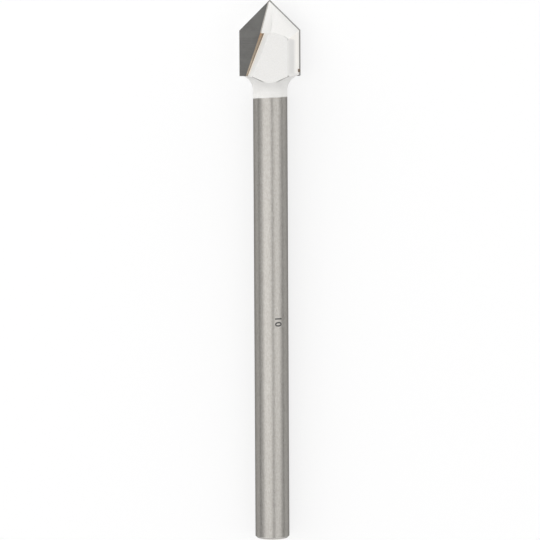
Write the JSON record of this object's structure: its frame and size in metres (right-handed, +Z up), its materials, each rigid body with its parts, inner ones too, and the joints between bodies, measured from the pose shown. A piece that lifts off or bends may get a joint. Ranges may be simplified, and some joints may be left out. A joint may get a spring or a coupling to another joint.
{
  "type": "glass and tile drill bit",
  "caption": "Lance-pointed drill bit for glass and tile: a carbide plate brazed across the slotted, blasted head of a round steel shank.",
  "frame": {"origin": "on the surface that the bit lies on, under the middle of its length", "axes": "+Y along the drill axis towards the point, +Z up out of the front flat, +X towards the side whose lip faces down"},
  "size_m": [0.0102, 0.09, 0.0066],
  "materials": {
    "body_steel": "lengthwise ground steel shank, pale fine-blasted head and neck",
    "carbide": "satin ground tungsten carbide, dark grey",
    "braze": "dull copper-coloured braze metal"
  },
  "bodies": {
    "root": {"drill_body": "body_steel", "carbide_tip": "carbide", "braze_filler": "braze"}
  },
  "joints": []
}
